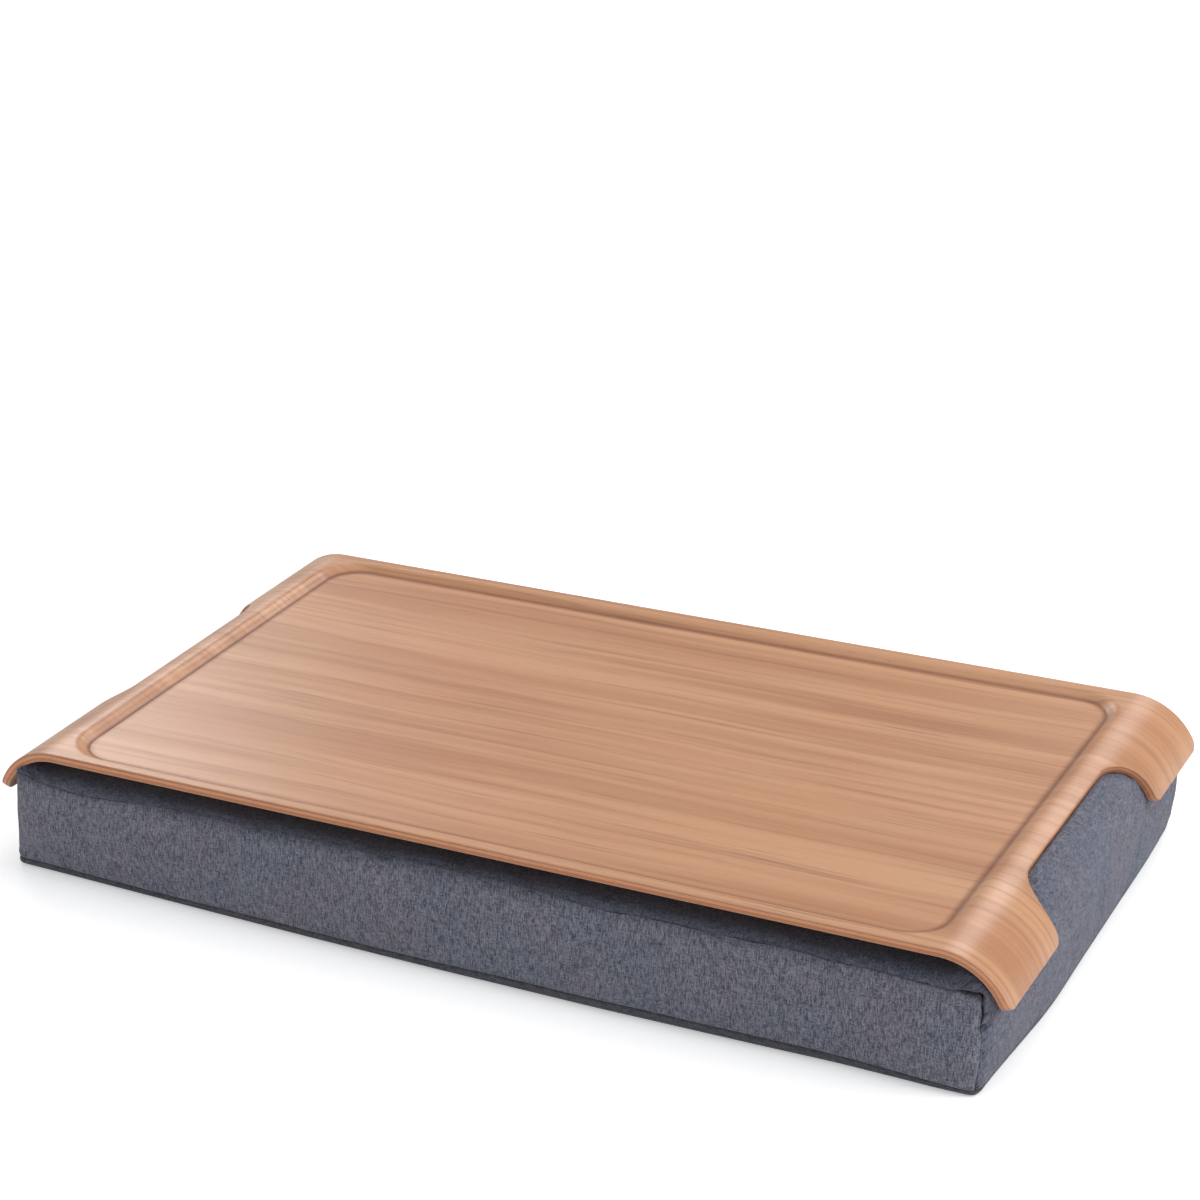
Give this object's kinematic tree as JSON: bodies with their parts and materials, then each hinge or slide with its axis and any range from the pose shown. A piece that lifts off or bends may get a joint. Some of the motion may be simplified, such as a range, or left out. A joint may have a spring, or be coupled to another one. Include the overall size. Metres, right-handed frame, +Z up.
{
  "type": "lap tray",
  "caption": "Moulded wood lap tray with a shallow well, rolled ends and hand notches, on a bead-filled cloth cushion with a zip along its back.",
  "frame": {"origin": "on the floor, under the middle of the tray", "axes": "+X along the tray towards the user's right, +Y away from the user, +Z up"},
  "size_m": [0.4364, 0.2469, 0.0552],
  "materials": {
    "veneer": "satin lacquered pale wood with fine brown streaks",
    "plywood": "lacquered orange-tan cut edge",
    "cover_cloth": "blue-grey melange weave",
    "base_cloth": "charcoal weave",
    "lining": "plain white lining",
    "beads": "white foam beads",
    "tape": "charcoal woven tape",
    "zip_metal": "dark satin metal"
  },
  "bodies": {
    "cushion": {"loop_strip_left": "tape", "loop_strip_right": "tape", "cover_top_panel": "cover_cloth", "cover_front_band": "cover_cloth", "cover_left_band": "cover_cloth", "cover_right_band": "cover_cloth", "cover_back_band_upper": "cover_cloth", "cover_back_band_lower": "cover_cloth", "cover_bottom_panel": "base_cloth", "inner_bag": "lining", "bead_fill": "beads", "zip_tape_upper": "tape", "zip_tape_lower": "tape", "zip_teeth_upper": "zip_metal", "zip_teeth_lower": "zip_metal", "zip_top_stop_upper": "zip_metal", "zip_top_stop_lower": "zip_metal", "zip_bottom_stop": "zip_metal"},
    "tray": {"tray_face_veneer": "veneer", "tray_core": "plywood", "tray_back_veneer": "veneer", "hook_strip_left": "tape", "hook_strip_right": "tape"},
    "slider": {"zip_slider": "zip_metal"},
    "pull": {"zip_pull": "zip_metal"}
  },
  "joints": [
    {"name": "tray_lift", "type": "slide", "parent": "cushion", "child": "tray", "axis": [0, 0, 1], "range_m": [0, 0.08]},
    {"name": "zip_slide", "type": "slide", "parent": "cushion", "child": "slider", "axis": [-1, 0, 0], "range_m": [0, 0.3715]},
    {"name": "pull_turn", "type": "hinge", "parent": "slider", "child": "pull", "pos_m": [0.18575, 0.1227, 0.0225], "axis": [0, 0, -1], "range_deg": [0, 150]}
  ]
}
